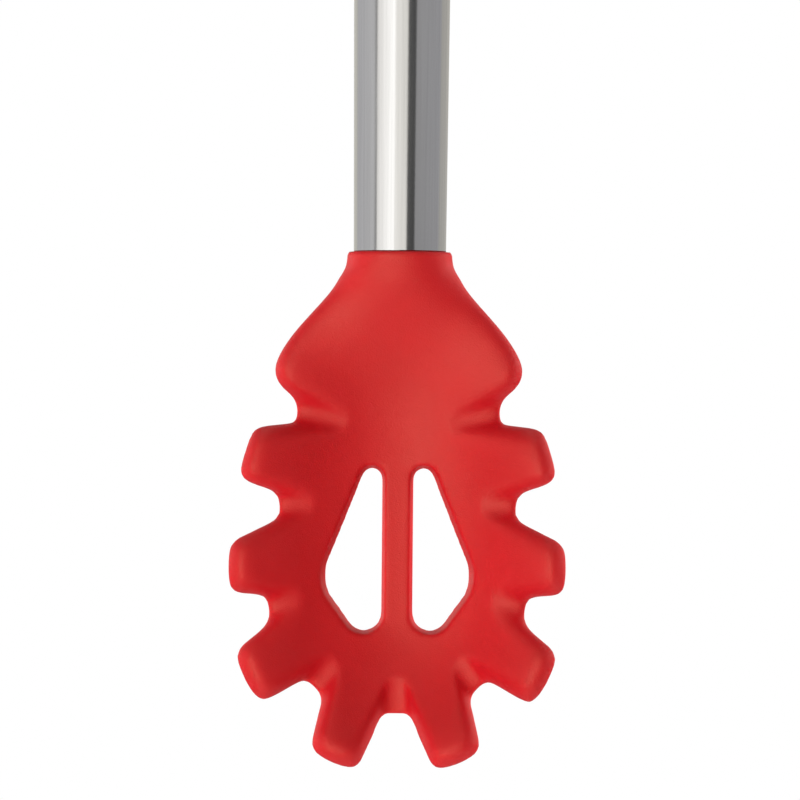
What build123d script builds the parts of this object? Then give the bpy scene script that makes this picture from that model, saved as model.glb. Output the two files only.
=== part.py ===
from build123d import *
import os
from collections import namedtuple
from math import cos, hypot, radians, sin, tan

os.makedirs("parts", exist_ok=True)

# A silicone headed pasta server that hangs by the eye in its end cap.
# +Z runs up the handle, X across the head and -Y out of the open side of the bowl.
# The origin is the centre of the hanging hole. A depth counts forward, towards -Y, from the handle's axis.

# Handle tube, tapered, of thin stainless steel
tube_bottom_d = 19.3
tube_top_d = 22.4
tube_wall = 0.8
tube_length = 202.0
tube_edge_round = 0.25

# End cap, with its hanging eye
hang_hole_d = 8.0
hole_edge_round = 0.8
hole_margin = 1.0
eye_drop = 3.8
dome_drop = 0.7
eye_thickness = 7.0
eye_edge_round = 0.8
cap_band = 1.2
spigot_length = 10.0
spigot_gap = 0.05
spigot_wall = 1.8

# Tang of the core, and the potting that holds it in the tube
tang_gap = 0.2
tang_length = 42.0
tang_lead_in = 2.0
key_groove_count = 3
key_groove_width = 3.0
key_groove_depth = 0.9
key_groove_pitch = 10.0
potting_cover = 3.0
bond_line = 0.05

# Head: the collar, the throat below it, the skin over the core, and the walls of the bowl
collar_d = 21.9
collar_height = 0.8
collar_edge_round = 0.4
throat_drop = 4.6
throat_width = 23.4
throat_depth = 19.8
oval_side_turn = 20.0
skin = 1.4
bowl_wall = 5.0
bowl_set_back = 3.0
floor_flat = 3.0
floor_radius = 13.0

# A section of the neck or bowl: how far it lies below the collar, its half width,
# its wall at the middle, how far its floor lies behind the handle's axis,
# and the slope and turning radius of its front and of its back wall
Station = namedtuple("Station", "drop half_width wall set_back front_slope front_turn back_slope back_turn")


def bowl_station(drop, half_width, wall, set_back, slope):
    """A section whose front and back walls run parallel."""
    return Station(drop, half_width, wall, set_back, slope, floor_radius, slope, floor_radius + wall)


neck = Station(9.6, 14.7, 15.8, -7.4, -22.0, 8.0, 25.0, 8.0)
shoulder = Station(20.5, 24.4, 8.6, -1.8, 9.0, 13.0, 17.0, 20.0)
upper_bowl = bowl_station(32.0, 29.3, 5.8, 1.6, 26.0)
middle_bowl = bowl_station(46.0, 33.4, bowl_wall, bowl_set_back, 33.0)
wide_bowl = bowl_station(60.0, 35.3, bowl_wall, bowl_set_back, 37.0)
full_bowl = bowl_station(67.5, 35.4, bowl_wall, bowl_set_back, 37.7)
lower_bowl = bowl_station(73.8, 35.3, bowl_wall, bowl_set_back, 38.0)
stations = [neck, shoulder, upper_bowl, middle_bowl, wide_bowl, full_bowl, lower_bowl]

# A valley between two teeth: where its line starts on the middle line of the head, how far that line
# dips below level, the depth of its floor, and how far along the line it begins
Valley = namedtuple("Valley", "drop dip depth begin")
shoulder_valley = Valley(38.4, -14.0, -0.35, 11.5)
upper_valley = Valley(51.7, 3.0, 3.3, 14.9)
seam_valley = Valley(65.3, 19.0, 5.9, 17.9)
corner_valley = Valley(68.2, 53.0, 3.7, 19.0)
end_valley = Valley(lower_bowl.drop, 90.0, 2.1, 11.5)
valley_near_half = 1.6
valley_spread = 4.8
valley_draft = 21.0
valley_round = 2.3
valley_length = 31.0
valley_height = 24.0
tooth_corner_round = 2.3
shoulder_corner_round = 4.5
corner_edge_share = 1.4

# Drain slots on either side of the middle bar, as they show from behind
bar_half_width = 3.85
slot_top_drop = 38.8
slot_corner_reach = 14.7
slot_corner_drop = 68.6
slot_bottom_drop = 85.4
slot_top_round = 1.5
slot_corner_round = 8.0
slot_bottom_round = 2.9
slot_draft = 10.0
cut_margin = 1.0
level_tolerance = 0.01

# Sizes and heights that follow
cap_r = tube_top_d / 2
tube_top_z = -cap_r - eye_drop
collar_z = tube_top_z - tube_length
bowl_z = collar_z - lower_bowl.drop
bowl_axis = Axis((0, 0, bowl_z), (0, 1, 0))
bore_bottom_r = tube_bottom_d / 2 - tube_wall
bore_top_r = tube_top_d / 2 - tube_wall
bore_taper = (bore_top_r - bore_bottom_r) / tube_length
tang_r = bore_bottom_r - tang_gap


def half_curve(depth, radius, slope, reach):
    """Half of a floor line: level at the middle, then a turn, then a straight wall out to its reach."""
    turn = radians(slope)
    turn_x = floor_flat + radius * abs(sin(turn))
    rise = radius * (1 - cos(turn)) * (1 if slope > 0 else -1)
    end_depth = depth + rise + (reach - turn_x) * tan(turn)
    Spline(
        [(0, -depth), (turn_x, -depth - rise), (reach, -end_depth)],
        tangents=[(1, 0), (cos(turn), -sin(turn))],
    )
    return reach, -end_depth


def right_half(station, inset):
    """The right half of a section's outline: its front, its rim square to the wall, and its back."""
    wall = station.wall - 2 * inset
    front = -station.set_back - inset
    lean = radians(max(station.front_slope, 0))
    back_reach = station.half_width - inset * (cos(lean) + sin(lean))
    front_reach = back_reach - wall * sin(lean)
    front_end = half_curve(front, station.front_turn + inset, station.front_slope, front_reach)
    back_end = half_curve(front - wall, station.back_turn - inset, station.back_slope, back_reach)
    Line(front_end, back_end)


def section(station, inset):
    with BuildLine() as outline:
        right_half(station, inset)
        mirror(about=Plane.YZ)
    return Plane.XY.offset(collar_z - station.drop) * make_face(outline.edges())


def half_section(station, inset):
    front = -station.set_back - inset
    with BuildLine() as outline:
        right_half(station, inset)
        Line((0, -front), (0, -front + station.wall - 2 * inset))
    return Plane.XY.offset(collar_z - station.drop) * make_face(outline.edges())


def oval_section(drop, width, depth, inset):
    """An oval in as many arcs as the other sections have edges."""
    side = oval_side_turn
    turns = [-90, -side, side, 90, 180 - side, 180 + side, 270]
    arcs = [
        Edge.make_ellipse(width / 2 - inset, depth / 2 - inset, start_angle=start, end_angle=end)
        for start, end in zip(turns, turns[1:])
    ]
    return Plane.XY.offset(collar_z - drop) * Face(Wire(arcs))


def valley_cutter(valley, grow):
    """A drafted wedge with a rounded floor, that lies along a valley and opens to the front."""
    dip = radians(valley.dip)
    floor = Plane(
        origin=(0, grow - valley.depth, collar_z - valley.drop),
        x_dir=(cos(dip), 0, -sin(dip)),
        z_dir=(0, -1, 0),
    )
    far = valley.begin + valley_length
    near_half = valley_near_half + grow
    far_half = near_half + valley_length * tan(radians(valley_spread))
    with BuildPart() as wedge:
        with BuildSketch(floor):
            with BuildLine():
                Polyline(
                    (valley.begin, -near_half),
                    (valley.begin, near_half),
                    (far, far_half),
                    (far, -far_half),
                    close=True,
                )
            make_face()
        extrude(amount=valley_height, taper=-valley_draft)
        floor_face = wedge.faces().sort_by(Axis.Y)[-1]
        fillet(floor_face.edges().sort_by(SortBy.LENGTH)[-2:], valley_round)
    return wedge.part


def slot_outline(depth, grow):
    plane = Plane(origin=(0, -depth, collar_z), x_dir=(1, 0, 0), z_dir=(0, -1, 0))
    with BuildSketch(plane) as outline:
        with BuildLine():
            Polyline(
                (bar_half_width, -slot_top_drop),
                (slot_corner_reach, -slot_corner_drop),
                (bar_half_width, -slot_bottom_drop),
                close=True,
            )
        make_face()
        fillet(outline.vertices().sort_by(Axis.Y)[-1], slot_top_round)
        fillet(outline.vertices().sort_by(Axis.X)[-1], slot_corner_round)
        fillet(outline.vertices().sort_by(Axis.Y)[0], slot_bottom_round)
        offset(amount=grow)
    return outline.sketch


def slot_cutter(grow):
    """The right hand drain slot: a rounded triangle that widens to the front."""
    back_depth = -bowl_set_back - bowl_wall - cut_margin
    front_depth = slot_corner_reach * tan(radians(lower_bowl.front_slope))
    back_grow = grow + cut_margin * tan(radians(slot_draft))
    front_grow = back_grow + (front_depth - back_depth) * tan(radians(slot_draft))
    outlines = [slot_outline(back_depth, back_grow), slot_outline(front_depth, front_grow)]
    with BuildPart() as cutter:
        loft(outlines)
    return cutter.part


def both_sides(right):
    return [right, mirror(right, about=Plane.YZ)]


def lower_half(inset):
    """The turned lower half of the bowl, with the valleys that cross its upper edge cut already."""
    turned = half_section(lower_bowl, inset)
    seam_cutters = both_sides(valley_cutter(seam_valley, inset))
    with BuildPart() as half:
        revolve(turned, axis=bowl_axis, revolution_arc=180)
        add(seam_cutters, mode=Mode.SUBTRACT)
    return half.part


def head_pieces(inset):
    """The faces that the upper half is lofted from, the turned lower half, and the cutters of both."""
    collar = oval_section(collar_height, collar_d, collar_d, inset)
    throat = oval_section(throat_drop, throat_width, throat_depth, inset)
    sections = [collar, throat] + [section(station, inset) for station in stations]
    seam_cutters = both_sides(valley_cutter(seam_valley, inset))
    cutters = [valley_cutter(end_valley, inset)] + both_sides(slot_cutter(inset))
    for valley in (shoulder_valley, upper_valley, corner_valley):
        cutters += both_sides(valley_cutter(valley, inset))
    return sections, seam_cutters, lower_half(inset), cutters


def at_tooth_corner(edge):
    """Whether an edge runs through the wall at a corner of a tooth."""
    middle = edge.center()
    drop = collar_z - middle.Z
    reach = hypot(middle.X, max(drop - lower_bowl.drop, 0))
    through = abs(edge.position_at(1).Y - edge.position_at(0).Y)
    crosses = bowl_wall / 2 < through and edge.length < corner_edge_share * bowl_wall
    return crosses and reach > shoulder.half_width


# Outer form of the head
sections, seam_cutters, lower, cutters = head_pieces(0)
with BuildPart() as head_form:
    with BuildSketch(Plane.XY.offset(collar_z)):
        Circle(collar_d / 2)
    extrude(amount=-collar_height)
    fillet(head_form.faces().sort_by(Axis.Z)[-1].edges(), collar_edge_round)
    loft(sections)
    add(seam_cutters, mode=Mode.SUBTRACT)
    add(lower)
    add(cutters, mode=Mode.SUBTRACT)
    fillet(head_form.edges().filter_by(at_tooth_corner).sort_by(Axis.Z)[:-2], tooth_corner_round)
    fillet(head_form.edges().filter_by(at_tooth_corner).sort_by(Axis.Z)[-2:], shoulder_corner_round)

# Core: the stiff frame inside the head, with its tang
sections, seam_cutters, lower, cutters = head_pieces(skin)
with BuildPart() as head_core:
    with BuildSketch(Plane.XY.offset(collar_z)):
        Circle(collar_d / 2 - skin)
    extrude(amount=-collar_height)
    loft(sections)
    add(seam_cutters, mode=Mode.SUBTRACT)
    add(lower)
    add(cutters, mode=Mode.SUBTRACT)
    with BuildSketch(Plane.XY.offset(collar_z)):
        Circle(tang_r)
    extrude(amount=tang_length)
    chamfer(head_core.faces().sort_by(Axis.Z)[-1].edges(), tang_lead_in)
    for index in range(key_groove_count):
        with BuildSketch(Plane.XY.offset(collar_z + key_groove_pitch * (index + 1))):
            Circle(tang_r + cut_margin)
            Circle(tang_r - key_groove_depth, mode=Mode.SUBTRACT)
        extrude(amount=key_groove_width, mode=Mode.SUBTRACT)

head_core.part.label = "head_core"
export_step(head_core.part, "parts/head_core.step")

# Silicone head, moulded over the core
with BuildPart() as silicone_head:
    add(head_form.part)
    add(head_core.part, mode=Mode.SUBTRACT)

silicone_head.part.label = "silicone_head"
export_step(silicone_head.part, "parts/silicone_head.step")

# Handle tube, with softened ends
with BuildPart() as handle_tube:
    with BuildSketch(Plane.XZ):
        with BuildLine():
            Polyline(
                (bore_bottom_r, collar_z),
                (tube_bottom_d / 2, collar_z),
                (tube_top_d / 2, tube_top_z),
                (bore_top_r, tube_top_z),
                close=True,
            )
        make_face()
    revolve(axis=Axis.Z)
    fillet(handle_tube.edges().filter_by(GeomType.CIRCLE), tube_edge_round)

handle_tube.part.label = "handle_tube"
export_step(handle_tube.part, "parts/handle_tube.step")

# Potting: cured resin that fills the bore around and just above the tang
potting_length = tang_length + potting_cover
with BuildPart() as tang_potting:
    with BuildSketch(Plane.XZ):
        with BuildLine():
            Polyline(
                (0, collar_z + tube_edge_round),
                (bore_bottom_r + bore_taper * tube_edge_round - bond_line, collar_z + tube_edge_round),
                (bore_bottom_r + bore_taper * potting_length - bond_line, collar_z + potting_length),
                (0, collar_z + potting_length),
                close=True,
            )
        make_face()
    revolve(axis=Axis.Z)
    add(head_core.part, mode=Mode.SUBTRACT)

tang_potting.part.label = "tang_potting"
export_step(tang_potting.part, "parts/tang_potting.step")

# End cap: a hollow plug with a domed top, thinned by two flats to an eye with a hanging hole
dome_z = -dome_drop
eye_top_z = dome_z + cap_r
spigot_z = tube_top_z - spigot_length
spigot_r = bore_top_r - bore_taper * spigot_length - spigot_gap
band_z = tube_top_z + cap_band
flat_z = -hang_hole_d / 2 - hole_edge_round - hole_margin
flat_y = eye_thickness / 2
flat_blend_radius = flat_z - band_z
clear_y = max(cap_r, flat_y + flat_blend_radius) + cut_margin
with BuildPart() as end_cap:
    with BuildSketch(Plane.XZ):
        with BuildLine():
            Polyline(
                (0, eye_top_z),
                (0, tube_top_z),
                (spigot_r - spigot_wall, tube_top_z),
                (spigot_r - spigot_wall, spigot_z),
                (spigot_r, spigot_z),
                (spigot_r, tube_top_z),
                (cap_r, tube_top_z),
                (cap_r, dome_z),
            )
            CenterArc((0, dome_z), cap_r, 0, 90)
        make_face()
    revolve(axis=Axis.Z)
    with BuildSketch(Plane.YZ):
        with BuildLine():
            Polyline(
                (flat_y, flat_z),
                (flat_y, eye_top_z + cut_margin),
                (clear_y, eye_top_z + cut_margin),
                (clear_y, band_z),
                (flat_y + flat_blend_radius, band_z),
            )
            CenterArc((flat_y + flat_blend_radius, flat_z), flat_blend_radius, 180, 90)
        make_face()
        mirror(about=Plane.YZ)
    extrude(amount=cap_r + cut_margin, both=True, mode=Mode.SUBTRACT)
    fillet(end_cap.faces().filter_by(Axis.Y).edges().filter_by(GeomType.CIRCLE), eye_edge_round)
    with BuildSketch(Plane.XZ):
        Circle(hang_hole_d / 2)
    extrude(amount=eye_thickness, both=True, mode=Mode.SUBTRACT)
    rings = end_cap.edges().filter_by(GeomType.CIRCLE)
    fillet(rings.filter_by_position(Axis.Z, -level_tolerance, level_tolerance), hole_edge_round)

end_cap.part.label = "end_cap"
export_step(end_cap.part, "parts/end_cap.step")
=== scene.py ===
import bpy
import bmesh
import math
from mathutils import Matrix, Vector


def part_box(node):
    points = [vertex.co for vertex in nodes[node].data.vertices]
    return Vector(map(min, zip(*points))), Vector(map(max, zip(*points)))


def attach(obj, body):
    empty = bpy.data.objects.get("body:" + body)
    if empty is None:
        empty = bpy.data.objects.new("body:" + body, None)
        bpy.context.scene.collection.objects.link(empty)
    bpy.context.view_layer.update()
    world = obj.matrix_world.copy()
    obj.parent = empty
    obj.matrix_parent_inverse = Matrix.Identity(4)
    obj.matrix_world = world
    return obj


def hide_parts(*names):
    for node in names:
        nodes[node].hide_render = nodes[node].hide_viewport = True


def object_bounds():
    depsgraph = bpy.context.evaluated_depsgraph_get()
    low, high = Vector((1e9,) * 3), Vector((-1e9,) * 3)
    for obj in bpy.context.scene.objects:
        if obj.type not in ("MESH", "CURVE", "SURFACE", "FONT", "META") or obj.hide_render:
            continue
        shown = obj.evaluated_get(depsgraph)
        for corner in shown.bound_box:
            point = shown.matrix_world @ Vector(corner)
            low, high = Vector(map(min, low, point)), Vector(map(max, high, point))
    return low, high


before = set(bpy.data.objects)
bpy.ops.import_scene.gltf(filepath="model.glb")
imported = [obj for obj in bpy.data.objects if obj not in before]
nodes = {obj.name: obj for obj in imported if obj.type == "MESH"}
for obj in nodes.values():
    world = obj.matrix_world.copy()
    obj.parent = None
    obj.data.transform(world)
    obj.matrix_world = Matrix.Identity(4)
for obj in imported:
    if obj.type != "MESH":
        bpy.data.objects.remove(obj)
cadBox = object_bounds()
print("frame loaded:", sorted(nodes))


# helpers for node trees and objects
def addNode(tree, kind, at, **values):
    node = tree.nodes.new(kind)
    node.location = at
    for name, value in values.items():
        setattr(node, name, value)
    return node


def setInputs(node, values):
    for name, value in values.items():
        node.inputs[name].default_value = value


def newMaterial(name, shaderKind):
    material = bpy.data.materials.new(name)
    material.use_nodes = True
    tree = material.node_tree
    tree.nodes.clear()
    output = addNode(tree, "ShaderNodeOutputMaterial", (700, 0))
    shader = addNode(tree, shaderKind, (400, 0))
    tree.links.new(shader.outputs[0], output.inputs["Surface"])
    return material, tree, shader


# every surface group puts out a colour, a roughness and a height
def newGroup(name, inputs):
    group = bpy.data.node_groups.new(name, "ShaderNodeTree")
    for socket, kind in inputs:
        group.interface.new_socket(socket, in_out="INPUT", socket_type=kind)
    group.interface.new_socket("Color", in_out="OUTPUT", socket_type="NodeSocketColor")
    group.interface.new_socket("Roughness", in_out="OUTPUT", socket_type="NodeSocketFloat")
    group.interface.new_socket("Height", in_out="OUTPUT", socket_type="NodeSocketFloat")
    entry = addNode(group, "NodeGroupInput", (-800, 0))
    leave = addNode(group, "NodeGroupOutput", (700, 0))
    return group, entry, leave


def addObject(name, data):
    obj = bpy.data.objects.new(name, data)
    bpy.context.scene.collection.objects.link(obj)
    return obj


# moulded grain: cloudy tone over the piece and a fine matte skin
mouldSkin = {"cloudDetail": 4, "grainDetail": 3, "grainShare": 0.35, "toneRange": (0.35, 1.0)}


def mouldGrainGroup(settings):
    group, entry, leave = newGroup("mouldGrain", [
        ("Vector", "NodeSocketVector"),
        ("Cloud Scale", "NodeSocketFloat"),
        ("Grain Scale", "NodeSocketFloat"),
        ("Light", "NodeSocketColor"),
        ("Dark", "NodeSocketColor"),
        ("Smooth", "NodeSocketFloat"),
        ("Rough", "NodeSocketFloat"),
    ])
    link = group.links.new
    cloud = addNode(group, "ShaderNodeTexNoise", (-500, 200))
    setInputs(cloud, {"Detail": settings["cloudDetail"]})
    link(entry.outputs["Vector"], cloud.inputs["Vector"])
    link(entry.outputs["Cloud Scale"], cloud.inputs["Scale"])
    grain = addNode(group, "ShaderNodeTexNoise", (-500, -150))
    setInputs(grain, {"Detail": settings["grainDetail"]})
    link(entry.outputs["Vector"], grain.inputs["Vector"])
    link(entry.outputs["Grain Scale"], grain.inputs["Scale"])
    blend = addNode(group, "ShaderNodeMath", (-250, 60), operation="MULTIPLY_ADD")
    blend.inputs[1].default_value = settings["grainShare"]
    link(grain.outputs["Fac"], blend.inputs[0])
    link(cloud.outputs["Fac"], blend.inputs[2])
    spread = addNode(group, "ShaderNodeMapRange", (-50, 60))
    low, high = settings["toneRange"]
    setInputs(spread, {"From Min": low, "From Max": high})
    link(blend.outputs[0], spread.inputs["Value"])
    tone = addNode(group, "ShaderNodeMix", (200, 200), data_type="RGBA")
    link(spread.outputs["Result"], tone.inputs["Factor"])
    link(entry.outputs["Dark"], tone.inputs["A"])
    link(entry.outputs["Light"], tone.inputs["B"])
    link(tone.outputs["Result"], leave.inputs["Color"])
    gloss = addNode(group, "ShaderNodeMapRange", (200, -50))
    link(spread.outputs["Result"], gloss.inputs["Value"])
    link(entry.outputs["Smooth"], gloss.inputs["To Min"])
    link(entry.outputs["Rough"], gloss.inputs["To Max"])
    link(gloss.outputs["Result"], leave.inputs["Roughness"])
    link(grain.outputs["Fac"], leave.inputs["Height"])
    return group


# satin steel: fine lines drawn along the handle, and broad smears in the gloss
drawnSkin = {
    "lineDetail": 5, "lineStretch": (1, 1, 0.012), "lineShare": 0.5,
    "smearScale": 45, "smearDetail": 3, "smearShare": 0.5, "glossRange": (0.3, 0.7),
}


def satinLinesGroup(settings):
    group, entry, leave = newGroup("satinLines", [
        ("Vector", "NodeSocketVector"),
        ("Line Scale", "NodeSocketFloat"),
        ("Light", "NodeSocketColor"),
        ("Dark", "NodeSocketColor"),
        ("Smooth", "NodeSocketFloat"),
        ("Rough", "NodeSocketFloat"),
    ])
    link = group.links.new
    stretch = addNode(group, "ShaderNodeMapping", (-650, 100))
    setInputs(stretch, {"Scale": settings["lineStretch"]})
    link(entry.outputs["Vector"], stretch.inputs["Vector"])
    lines = addNode(group, "ShaderNodeTexNoise", (-420, 100))
    setInputs(lines, {"Detail": settings["lineDetail"]})
    link(stretch.outputs["Vector"], lines.inputs["Vector"])
    link(entry.outputs["Line Scale"], lines.inputs["Scale"])
    smears = addNode(group, "ShaderNodeTexNoise", (-420, -200))
    setInputs(smears, {"Scale": settings["smearScale"], "Detail": settings["smearDetail"]})
    link(entry.outputs["Vector"], smears.inputs["Vector"])
    tone = addNode(group, "ShaderNodeMix", (200, 200), data_type="RGBA")
    link(lines.outputs["Fac"], tone.inputs["Factor"])
    link(entry.outputs["Dark"], tone.inputs["A"])
    link(entry.outputs["Light"], tone.inputs["B"])
    link(tone.outputs["Result"], leave.inputs["Color"])
    smearPart = addNode(group, "ShaderNodeMath", (-150, -250), operation="MULTIPLY")
    smearPart.inputs[1].default_value = settings["smearShare"]
    link(smears.outputs["Fac"], smearPart.inputs[0])
    both = addNode(group, "ShaderNodeMath", (-150, -50), operation="MULTIPLY_ADD")
    both.inputs[1].default_value = settings["lineShare"]
    link(lines.outputs["Fac"], both.inputs[0])
    link(smearPart.outputs[0], both.inputs[2])
    gloss = addNode(group, "ShaderNodeMapRange", (200, -50))
    low, high = settings["glossRange"]
    setInputs(gloss, {"From Min": low, "From Max": high})
    link(both.outputs[0], gloss.inputs["Value"])
    link(entry.outputs["Smooth"], gloss.inputs["To Min"])
    link(entry.outputs["Rough"], gloss.inputs["To Max"])
    link(gloss.outputs["Result"], leave.inputs["Roughness"])
    link(lines.outputs["Fac"], leave.inputs["Height"])
    return group


mouldGrain = mouldGrainGroup(mouldSkin)
satinLines = satinLinesGroup(drawnSkin)


# a piece's material: its group for what changes over the surface, its own sockets for the rest
def pieceMaterial(settings, group):
    material, tree, shader = newMaterial(settings["name"], "ShaderNodeBsdfPrincipled")
    setInputs(shader, settings["shader"])
    spot = addNode(tree, "ShaderNodeTexCoord", (-600, 0))
    skin = addNode(tree, "ShaderNodeGroup", (-250, 0), node_tree=group)
    setInputs(skin, settings["skin"])
    bump = addNode(tree, "ShaderNodeBump", (150, -250))
    setInputs(bump, settings["bump"])
    tree.links.new(spot.outputs["Object"], skin.inputs["Vector"])
    tree.links.new(skin.outputs["Color"], shader.inputs["Base Color"])
    tree.links.new(skin.outputs["Roughness"], shader.inputs["Roughness"])
    tree.links.new(skin.outputs["Height"], bump.inputs["Height"])
    tree.links.new(bump.outputs["Normal"], shader.inputs["Normal"])
    return material


def dress(mesh, material):
    mesh.materials.clear()
    mesh.materials.append(material)


# red silicone head: the solid's own outer skin with its moulded edges softened
redHead = {
    "name": "redSilicone",
    "skin": {
        "Cloud Scale": 55.0, "Grain Scale": 3800.0, "Smooth": 0.42, "Rough": 0.50,
        "Light": (0.63, 0.003, 0.012, 1), "Dark": (0.56, 0.002, 0.009, 1),
    },
    "shader": {
        "Specular IOR Level": 0.55, "Specular Tint": (1.0, 0.95, 0.66, 1),
        "Subsurface Weight": 0.2, "Subsurface Scale": 0.002,
    },
    "bump": {"Strength": 0.55, "Distance": 0.0002},
    "mergeDistance": 0.000004, "flatWithin": 0.00002, "tangMargin": 0.0005, "creaseAngle": 0.5,
    "voxel": 0.0005, "softStep": 0.5, "barRounds": 5, "toothRounds": 90, "swell": 0.0006,
    "collarKeep": 0.0025, "collarBlend": 0.004,  # down from the collar's lip
    "slotMiddle": -0.280, "slotWide": 0.0165, "slotTall": 0.0285,  # an oval round both slots
    "slotBlend": 0.8, "swellBlend": 0.7,  # shares of that oval
}


# the head is hollow for its core, so it is cut at the tang's hole and only the outside is kept
def outerSkin(settings):
    mesh = nodes["silicone_head"].data.copy()
    bm = bmesh.new()
    bm.from_mesh(mesh)
    bmesh.ops.remove_doubles(bm, verts=bm.verts, dist=settings["mergeDistance"])
    top = max(v.co.z for v in bm.verts)
    pottingLow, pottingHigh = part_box("tang_potting")
    reach = (pottingHigh.x - pottingLow.x) / 2 + settings["tangMargin"]
    tangRim = []
    for edge in bm.edges:
        flat = all(abs(v.co.z - top) < settings["flatWithin"] for v in edge.verts)
        near = all(math.hypot(v.co.x, v.co.y) < reach for v in edge.verts)
        if flat and near and len(edge.link_faces) == 2:
            if edge.calc_face_angle(0) > settings["creaseAngle"]:
                tangRim.append(edge)
    bmesh.ops.split_edges(bm, edges=tangRim)
    lowest = min(bm.verts, key=lambda v: v.co.z)
    outside = {lowest}
    queue = [lowest]
    while queue:
        vert = queue.pop()
        for edge in vert.link_edges:
            other = edge.other_vert(vert)
            if other not in outside:
                outside.add(other)
                queue.append(other)
    bmesh.ops.delete(bm, geom=[v for v in bm.verts if v not in outside], context="VERTS")
    openEdges = [e for e in bm.edges if len(e.link_faces) == 1]
    bmesh.ops.edgeloop_fill(bm, edges=openEdges)
    print("outer skin:", len(bm.faces), "faces, open edges closed:", len(openEdges))
    bm.to_mesh(mesh)
    bm.free()
    return mesh


def eased(value):
    value = min(max(value, 0), 1)
    return value * value * (3 - 2 * value)


# share from 0 at the collar's lip to 1 well below it
def belowCollar(settings, spot, top):
    return eased((top - settings["collarKeep"] - spot.z) / settings["collarBlend"])


# share from 0 around the slots to 1 out on the teeth
def outsideSlots(settings, spot, blend):
    wide = spot.x / settings["slotWide"]
    tall = (spot.z - settings["slotMiddle"]) / settings["slotTall"]
    return eased((math.hypot(wide, tall) - 1) / settings[blend])


# how often a point is softened: least by the slots and the collar, most on the teeth
def softRounds(settings, spot, top):
    share = outsideSlots(settings, spot, "slotBlend")
    rounds = settings["barRounds"] + (settings["toothRounds"] - settings["barRounds"]) * share
    return rounds * belowCollar(settings, spot, top)


def evenMesh(obj, voxel):
    remesh = obj.modifiers.new("even", "REMESH")
    remesh.mode = "VOXEL"
    remesh.voxel_size = voxel
    bpy.context.view_layer.update()
    graph = bpy.context.evaluated_depsgraph_get()
    obj.data = bpy.data.meshes.new_from_object(obj.evaluated_get(graph))
    obj.modifiers.clear()


def makeHead(settings):
    head = addObject("head_moulding", outerSkin(settings))
    evenMesh(head, settings["voxel"])
    bm = bmesh.new()
    bm.from_mesh(head.data)
    top = max(v.co.z for v in bm.verts)
    rounds = {v: softRounds(settings, v.co, top) for v in bm.verts}
    for turn in range(settings["toothRounds"]):
        soft = [v for v in bm.verts if rounds[v] > turn]
        bmesh.ops.smooth_vert(bm, verts=soft, factor=settings["softStep"],
                              use_axis_x=True, use_axis_y=True, use_axis_z=True)
    bm.normal_update()
    for v in bm.verts:  # softening thins the teeth, so they swell back
        share = outsideSlots(settings, v.co, "swellBlend") * belowCollar(settings, v.co, top)
        v.co += v.normal * settings["swell"] * share
    for face in bm.faces:
        face.smooth = True
    bm.to_mesh(head.data)
    bm.free()
    dress(head.data, pieceMaterial(settings, mouldGrain))
    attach(head, "root")
    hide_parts("silicone_head")
    print("head moulded:", len(head.data.polygons), "faces")


makeHead(redHead)

# nylon core inside the head, and the resin that holds its tang
blackCore = {
    "name": "coreNylon",
    "skin": {
        "Cloud Scale": 90.0, "Grain Scale": 1800.0, "Smooth": 0.5, "Rough": 0.65,
        "Light": (0.05, 0.05, 0.052, 1), "Dark": (0.03, 0.03, 0.032, 1),
    },
    "shader": {"Specular IOR Level": 0.4},
    "bump": {"Strength": 0.15, "Distance": 0.0002},
}
amberResin = {
    "name": "pottingResin",
    "skin": {
        "Cloud Scale": 120.0, "Grain Scale": 900.0, "Smooth": 0.3, "Rough": 0.45,
        "Light": (0.5, 0.4, 0.24, 1), "Dark": (0.4, 0.3, 0.16, 1),
    },
    "shader": {"Specular IOR Level": 0.5},
    "bump": {"Strength": 0.05, "Distance": 0.0002},
}
dress(nodes["head_core"].data, pieceMaterial(blackCore, mouldGrain))
dress(nodes["tang_potting"].data, pieceMaterial(amberResin, mouldGrain))

# steel handle and its end cap
satinTube = {
    "name": "tubeSteel",
    "skin": {
        "Line Scale": 1500.0, "Smooth": 0.10, "Rough": 0.17,
        "Light": (0.70, 0.695, 0.69, 1), "Dark": (0.52, 0.515, 0.51, 1),
    },
    "shader": {"Metallic": 1.0},
    "bump": {"Strength": 0.05, "Distance": 0.00005},
}
satinCap = {
    "name": "capSteel",
    "skin": {
        "Line Scale": 2000.0, "Smooth": 0.18, "Rough": 0.28,
        "Light": (0.66, 0.655, 0.65, 1), "Dark": (0.55, 0.545, 0.54, 1),
    },
    "shader": {"Metallic": 1.0},
    "bump": {"Strength": 0.05, "Distance": 0.00005},
}
dress(nodes["handle_tube"].data, pieceMaterial(satinTube, satinLines))
dress(nodes["end_cap"].data, pieceMaterial(satinCap, satinLines))
print("materials on every node")


# a place around the handle: turn 0 is the camera's side, and right is positive
def around(turn, away, height):
    angle = math.radians(turn)
    return Vector((math.sin(angle) * away, -math.cos(angle) * away, height))


# air of the studio: white where it is seen or mirrored, dim as a light
air = {"color": (1, 1, 1, 1), "seenStrength": 1.0, "lightStrength": 0.25}


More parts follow.
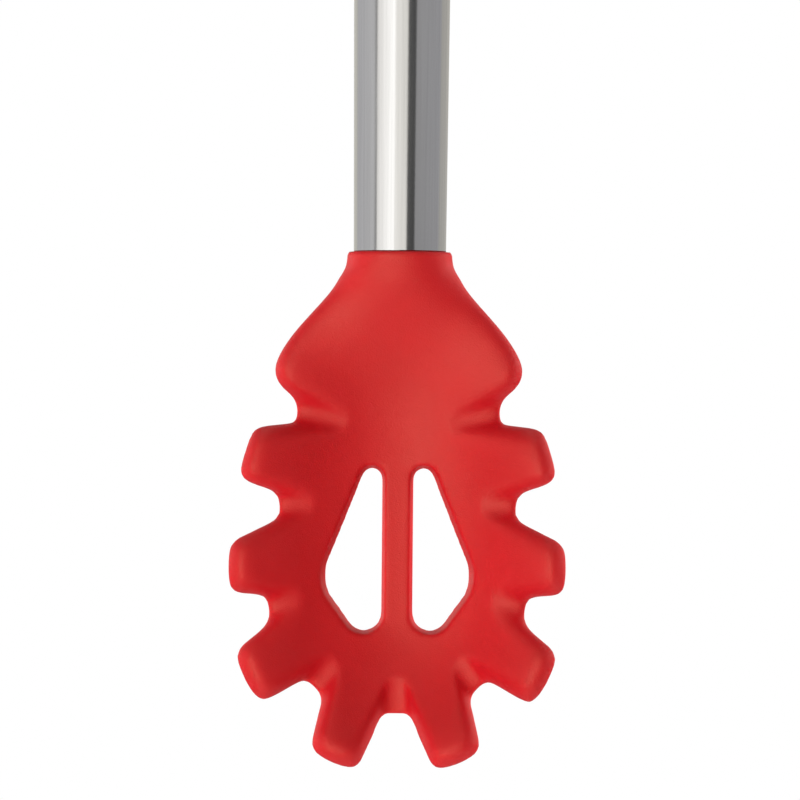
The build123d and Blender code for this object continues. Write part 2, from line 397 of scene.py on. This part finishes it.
def makeWorld(settings):
    world = bpy.data.worlds.new("studioAir")
    bpy.context.scene.world = world
    world.use_nodes = True
    tree = world.node_tree
    tree.nodes.clear()
    out = addNode(tree, "ShaderNodeOutputWorld", (500, 0))
    mix = addNode(tree, "ShaderNodeMixShader", (300, 0))
    path = addNode(tree, "ShaderNodeLightPath", (-200, 200))
    seen = addNode(tree, "ShaderNodeMath", (-20, 200), operation="MAXIMUM")
    seenOrThrough = addNode(tree, "ShaderNodeMath", (140, 200), operation="MAXIMUM")
    dim = addNode(tree, "ShaderNodeBackground", (50, -50))
    setInputs(dim, {"Color": settings["color"], "Strength": settings["lightStrength"]})
    white = addNode(tree, "ShaderNodeBackground", (50, -200))
    setInputs(white, {"Color": settings["color"], "Strength": settings["seenStrength"]})
    tree.links.new(path.outputs["Is Camera Ray"], seen.inputs[0])
    tree.links.new(path.outputs["Is Glossy Ray"], seen.inputs[1])
    tree.links.new(seen.outputs[0], seenOrThrough.inputs[0])
    tree.links.new(path.outputs["Is Transmission Ray"], seenOrThrough.inputs[1])
    tree.links.new(seenOrThrough.outputs[0], mix.inputs["Fac"])
    tree.links.new(dim.outputs[0], mix.inputs[1])
    tree.links.new(white.outputs[0], mix.inputs[2])
    tree.links.new(mix.outputs[0], out.inputs["Surface"])


# pale floor, well below the hanging part
paleFloor = {
    "drop": 0.45, "radius": 1.2, "segments": 96, "glow": 0.6,
    "shader": {
        "Base Color": (0.82, 0.82, 0.82, 1), "Roughness": 0.9, "Emission Color": (1, 1, 1, 1),
    },
}


def makeFloor(settings):
    bm = bmesh.new()
    low = cadBox[0].z - settings["drop"]
    bmesh.ops.create_circle(bm, cap_ends=True, segments=settings["segments"],
                            radius=settings["radius"], matrix=Matrix.Translation((0, 0, low)))
    bmesh.ops.recalc_face_normals(bm, faces=bm.faces)
    for face in bm.faces:
        if face.normal.z < 0:
            face.normal_flip()
    mesh = bpy.data.meshes.new("paleFloor")
    bm.to_mesh(mesh)
    bm.free()
    floor = addObject("paleFloor", mesh)
    material, tree, shader = newMaterial("palePaper", "ShaderNodeBsdfPrincipled")
    setInputs(shader, settings["shader"])
    path = addNode(tree, "ShaderNodeLightPath", (-300, 0))
    glow = addNode(tree, "ShaderNodeMath", (0, -150), operation="MULTIPLY")
    glow.inputs[1].default_value = settings["glow"]
    tree.links.new(path.outputs["Is Camera Ray"], glow.inputs[0])
    tree.links.new(glow.outputs[0], shader.inputs["Emission Strength"])
    mesh.materials.append(material)


# curved cards around the handle that only reflections see, each fading from one grey to another
cardRing = {
    "reach": (0.8, 0.8), "steps": 24,  # reach at the lower and the upper edge
    "cards": [
        {"name": "paleCardLeft", "turns": (-178, -134), "rise": (-0.36, 0.05),
         "tones": ((0.76, 0.74, 0.68, 1), (0.66, 0.65, 0.60, 1))},
        {"name": "greyCardLeft", "turns": (-134, -67), "rise": (-0.36, 0.05),
         "tones": ((0.56, 0.56, 0.58, 1), (0.68, 0.68, 0.69, 1))},
        {"name": "gapLeft", "turns": (-67, -60), "rise": (-0.36, 0.05),
         "tones": ((0.36, 0.36, 0.36, 1), (0.38, 0.38, 0.37, 1))},
        {"name": "whiteCardLeft", "turns": (-60, -15), "rise": (-0.36, 0.05),
         "tones": ((1.12, 1.10, 1.07, 1), (1.74, 1.73, 1.70, 1))},
        {"name": "frontPanel", "turns": (-15, 16), "rise": (-0.7, 0.05),
         "tones": ((1.24, 1.22, 1.17, 1), (1.06, 1.04, 0.99, 1))},
        {"name": "darkCardRight", "turns": (16, 36), "rise": (-0.235, 0.05),
         "tones": ((0.12, 0.12, 0.12, 1), (0.09, 0.09, 0.09, 1))},
        {"name": "greyCardRight", "turns": (36, 112), "rise": (-0.235, 0.05),
         "tones": ((0.43, 0.43, 0.44, 1), (0.44, 0.44, 0.46, 1))},
        {"name": "paleCardRight", "turns": (112, 178), "rise": (-0.235, 0.05),
         "tones": ((0.52, 0.51, 0.48, 1), (0.58, 0.56, 0.52, 1))},
        {"name": "lowFlagRight", "turns": (16, 178), "rise": (-0.7, -0.235),
         "tones": ((0.04, 0.04, 0.04, 1), (0.04, 0.04, 0.04, 1))},
        {"name": "lowFlagLeft", "turns": (-178, -15), "rise": (-0.7, -0.36),
         "tones": ((0.08, 0.08, 0.08, 1), (0.20, 0.20, 0.20, 1))},
        {"name": "floorFlag", "turns": (-178, 178), "rise": (-0.72, -0.7), "reach": (0.02, 0.8),
         "tones": ((0.22, 0.22, 0.22, 1), (0.22, 0.22, 0.22, 1))},
        {"name": "topFlag", "turns": (-178, 178), "rise": (0.05, 1.4),
         "tones": ((0.20, 0.20, 0.20, 1), (0.20, 0.20, 0.20, 1))},
    ],
}


def cardMesh(settings, card):
    start, end = card["turns"]
    bottom, top = card["rise"]
    near, far = card.get("reach", settings["reach"])
    bm = bmesh.new()
    share = bm.verts.layers.float.new("share")
    corner = [bm.verts.new(around(start, near, bottom))]
    bmesh.ops.spin(bm, geom=corner, cent=(0, 0, 0), axis=(0, 0, 1), steps=settings["steps"],
                   angle=math.radians(end - start))
    lift = bmesh.ops.extrude_edge_only(bm, edges=bm.edges[:])
    raised = [g for g in lift["geom"] if isinstance(g, bmesh.types.BMVert)]
    bmesh.ops.scale(bm, verts=raised, vec=(far / near, far / near, 1))
    bmesh.ops.translate(bm, verts=raised, vec=(0, 0, top - bottom))
    for v in bm.verts:
        v[share] = (math.degrees(math.atan2(v.co.x, -v.co.y)) - start) / (end - start)
    mesh = bpy.data.meshes.new(card["name"])
    bm.to_mesh(mesh)
    bm.free()
    return mesh


def makeCard(settings, card):
    mesh = cardMesh(settings, card)
    material, tree, glow = newMaterial(card["name"], "ShaderNodeEmission")
    fade = addNode(tree, "ShaderNodeMix", (200, 0), data_type="RGBA")
    firstTone, lastTone = card["tones"]
    setInputs(fade, {"A": firstTone, "B": lastTone})
    place = addNode(tree, "ShaderNodeAttribute", (0, 0), attribute_name="share")
    tree.links.new(place.outputs["Fac"], fade.inputs["Factor"])
    tree.links.new(fade.outputs["Result"], glow.inputs["Color"])
    mesh.materials.append(material)
    obj = addObject(card["name"], mesh)
    obj.visible_camera = False
    obj.visible_diffuse = False
    obj.visible_shadow = False


# soft lamps aimed at the head, left out of reflections because the cards are what shows there
softLamps = {
    "aim": (0, 0, -0.25),
    "lamps": [
        {"name": "softboxLeft", "turn": -28, "lift": 10, "away": 0.9,
         "wide": 0.75, "tall": 1.8, "power": 4.8},
        {"name": "frontFill", "turn": -24, "lift": -16, "away": 1.0,
         "wide": 0.6, "tall": 0.5, "power": 5.0},
        {"name": "rimRight", "turn": 122, "lift": 8, "away": 0.9,
         "wide": 0.8, "tall": 1.2, "power": 16.0},
        {"name": "rimLeft", "turn": -120, "lift": 6, "away": 0.9,
         "wide": 0.8, "tall": 1.2, "power": 9.0},
    ],
}


def makeLamp(settings, lamp):
    data = bpy.data.lights.new(lamp["name"], "AREA")
    data.shape = "RECTANGLE"
    data.size = lamp["wide"]
    data.size_y = lamp["tall"]
    data.energy = lamp["power"]
    obj = addObject(lamp["name"], data)
    aim = Vector(settings["aim"])
    lift = lamp["away"] * math.tan(math.radians(lamp["lift"]))
    obj.location = aim + around(lamp["turn"], lamp["away"], lift)
    obj.rotation_euler = (aim - obj.location).to_track_quat("-Z", "Y").to_euler()
    obj.visible_glossy = False


makeWorld(air)
makeFloor(paleFloor)
for card in cardRing["cards"]:
    makeCard(cardRing, card)
for lamp in softLamps["lamps"]:
    makeLamp(softLamps, lamp)
print("studio lit")

# camera square on to the open side of the bowl, with a slight roll
shot = {"away": 1.4, "frameWide": 0.1672, "height": -0.2479, "aside": 0.0003, "roll": 0.5, "sensor": 36}


def makeCamera(settings):
    data = bpy.data.cameras.new("photoCamera")
    data.sensor_width = settings["sensor"]
    data.lens = settings["sensor"] * settings["away"] / settings["frameWide"]
    camera = addObject("photoCamera", data)
    camera.location = (settings["aside"], -settings["away"], settings["height"])
    level = Matrix.Rotation(math.radians(90), 3, "X")
    roll = Matrix.Rotation(math.radians(settings["roll"]), 3, "Z")
    camera.rotation_euler = (level @ roll).to_euler()
    bpy.context.scene.camera = camera


makeCamera(shot)
bpy.context.scene.view_settings.view_transform = "Standard"
print("camera set")
